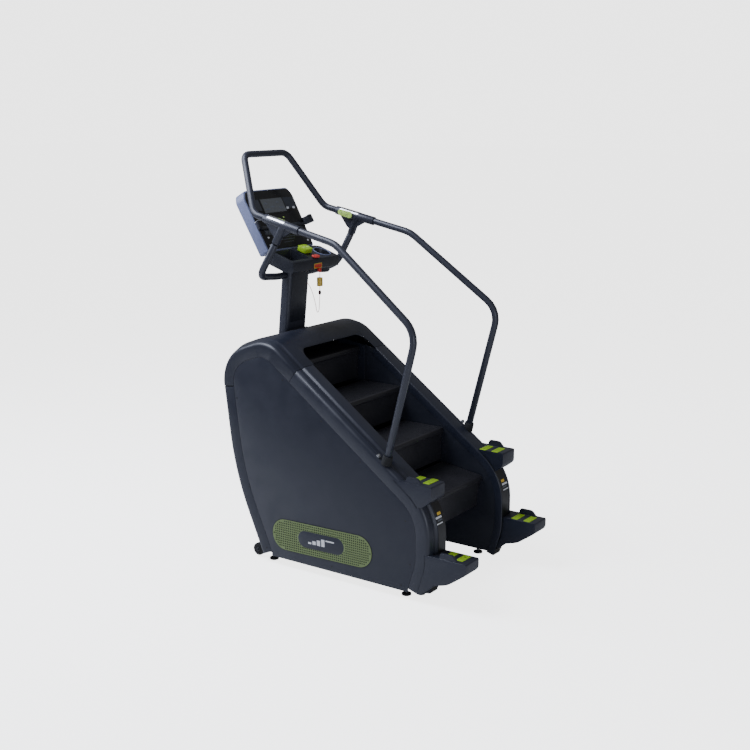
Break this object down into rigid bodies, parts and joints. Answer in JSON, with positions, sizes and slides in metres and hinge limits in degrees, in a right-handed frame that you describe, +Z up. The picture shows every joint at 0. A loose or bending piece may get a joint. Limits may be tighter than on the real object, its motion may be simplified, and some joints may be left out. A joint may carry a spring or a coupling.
{
  "type": "stair climber",
  "caption": "Stair climber: revolving steps between moulded side covers, long bent handrails, a mast with console, cup tray and safety key.",
  "frame": {"origin": "on the floor, under the middle of the machine's bounding box", "axes": "+Z up, +Y the way the user faces, toward the console, +X to the user's right"},
  "size_m": [0.877, 1.6718, 2.2557],
  "materials": {
    "cover": "fine-textured charcoal blue-grey moulded ABS",
    "tube": "satin dark grey powder coat",
    "frame_paint": "black powder coat on welded steel tube",
    "black_plastic": "black moulded plastic",
    "step": "black ribbed tread",
    "console_glass": "black gloss overlay",
    "grille": "olive green perforated sheet",
    "lime": "lime green",
    "steel": "turned steel",
    "chain_steel": "oiled dark steel",
    "rubber": "black rubber",
    "red": "red",
    "cord": "thin woven red cord",
    "tag": "yellow"
  },
  "bodies": {
    "frame": {"main_frame": "frame_paint", "mast": "tube", "front_cover": "cover", "hood": "cover", "left_rail_cover": "cover", "right_rail_cover": "cover", "left_side_panel": "cover", "right_side_panel": "cover", "left_inner_panel": "black_plastic", "right_inner_panel": "black_plastic", "left_grille": "grille", "right_grille": "grille", "left_lower_footrest": "black_plastic", "right_lower_footrest": "black_plastic", "left_upper_footrest": "black_plastic", "right_upper_footrest": "black_plastic", "left_handrail": "tube", "right_handrail": "tube", "left_rail_clamp": "black_plastic", "right_rail_clamp": "black_plastic", "left_console_arm": "tube", "right_console_arm": "tube", "left_remote_pad": "lime", "right_remote_pad": "lime", "left_chain": "chain_steel", "right_chain": "chain_steel", "left_rear_leveling_foot": "rubber", "right_rear_leveling_foot": "rubber", "left_front_leveling_foot": "rubber", "right_front_leveling_foot": "rubber", "top_bar": "tube", "console_housing": "cover", "console_face": "console_glass", "reading_rack": "black_plastic", "tray": "black_plastic", "cup_liner": "black_plastic", "control_pod": "lime", "generator": "chain_steel", "drive_belt": "rubber", "power_inlet": "black_plastic"},
    "stairs": {"step_1": "step", "step_2": "step", "step_3": "step"},
    "low_step": {"step_4": "step"},
    "return_stairs": {"step_5": "step", "step_6": "step", "step_7": "step"},
    "lower_sprockets": {"lower_shaft": "steel"},
    "upper_sprockets": {"upper_shaft": "steel"},
    "generator_rotor": {"generator_pulley": "steel"},
    "stop_button": {"stop_button": "red"},
    "left_pod_button": {"left_pod_button": "black_plastic"},
    "right_pod_button": {"right_pod_button": "black_plastic"},
    "left_rocker": {"left_rocker": "black_plastic"},
    "right_rocker": {"right_rocker": "black_plastic"},
    "safety_key": {"safety_key": "red", "key_tag": "tag", "key_cord": "cord"},
    "left_wheel": {"left_transport_wheel": "rubber"},
    "right_wheel": {"right_transport_wheel": "rubber"}
  },
  "joints": [
    {"name": "stair_run", "type": "slide", "parent": "frame", "child": "stairs", "axis": [0, -0.8232, -0.5677], "range_m": [0, 0.1]},
    {"name": "low_step_turn", "type": "hinge", "parent": "frame", "child": "low_step", "pos_m": [0, -0.31385, 0.33558], "axis": [1, 0, 0], "range_deg": [0, 98]},
    {"name": "return_run", "type": "slide", "parent": "frame", "child": "return_stairs", "axis": [0, 0.8232, 0.5677], "range_m": [0, 0.1]},
    {"name": "lower_shaft_spin", "type": "hinge", "parent": "frame", "child": "lower_sprockets", "pos_m": [0, -0.31385, 0.33558], "axis": [1, 0, 0], "range_deg": [0, 98]},
    {"name": "upper_shaft_spin", "type": "hinge", "parent": "frame", "child": "upper_sprockets", "pos_m": [0, 0.54941, 0.93093], "axis": [1, 0, 0], "range_deg": [0, 98]},
    {"name": "generator_spin", "type": "hinge", "parent": "frame", "child": "generator_rotor", "pos_m": [0, 0.5, 0.33], "axis": [1, 0, 0], "range_deg": [0, 335]},
    {"name": "stop_press", "type": "slide", "parent": "frame", "child": "stop_button", "axis": [0, 0.3256, -0.9455], "range_m": [0, 0.003], "stiffness_N_per_m": 500},
    {"name": "left_pod_press", "type": "slide", "parent": "frame", "child": "left_pod_button", "axis": [0, 0.3256, -0.9455], "range_m": [0, 0.0025], "stiffness_N_per_m": 400},
    {"name": "right_pod_press", "type": "slide", "parent": "frame", "child": "right_pod_button", "axis": [0, 0.3256, -0.9455], "range_m": [0, 0.0025], "stiffness_N_per_m": 400},
    {"name": "left_rocker_tilt", "type": "hinge", "parent": "frame", "child": "left_rocker", "pos_m": [-0.29683, 0.44046, 1.89502], "axis": [0, 0.2094, -0.9778], "range_deg": [-3, 3], "stiffness_Nm_per_rad": 0.4},
    {"name": "right_rocker_tilt", "type": "hinge", "parent": "frame", "child": "right_rocker", "pos_m": [0.29683, 0.44046, 1.89502], "axis": [0, 0.2094, -0.9778], "range_deg": [-3, 3], "stiffness_Nm_per_rad": 0.4},
    {"name": "key_pull", "type": "slide", "parent": "frame", "child": "safety_key", "axis": [0, -1, 0], "range_m": [0, 0.02]},
    {"name": "left_wheel_spin", "type": "hinge", "parent": "frame", "child": "left_wheel", "pos_m": [-0.39, 0.545, 0.046], "axis": [1, 0, 0], "continuous": true},
    {"name": "right_wheel_spin", "type": "hinge", "parent": "frame", "child": "right_wheel", "pos_m": [0.39, 0.545, 0.046], "axis": [1, 0, 0], "continuous": true}
  ],
  "couplings": [
    {"joint": "low_step_turn", "follows": "stair_run", "rad_per_m": 17.036},
    {"joint": "return_run", "follows": "stair_run", "ratio": 1},
    {"joint": "lower_shaft_spin", "follows": "stair_run", "rad_per_m": 17.036},
    {"joint": "upper_shaft_spin", "follows": "stair_run", "rad_per_m": 17.036},
    {"joint": "generator_spin", "follows": "stair_run", "rad_per_m": 57.922}
  ]
}
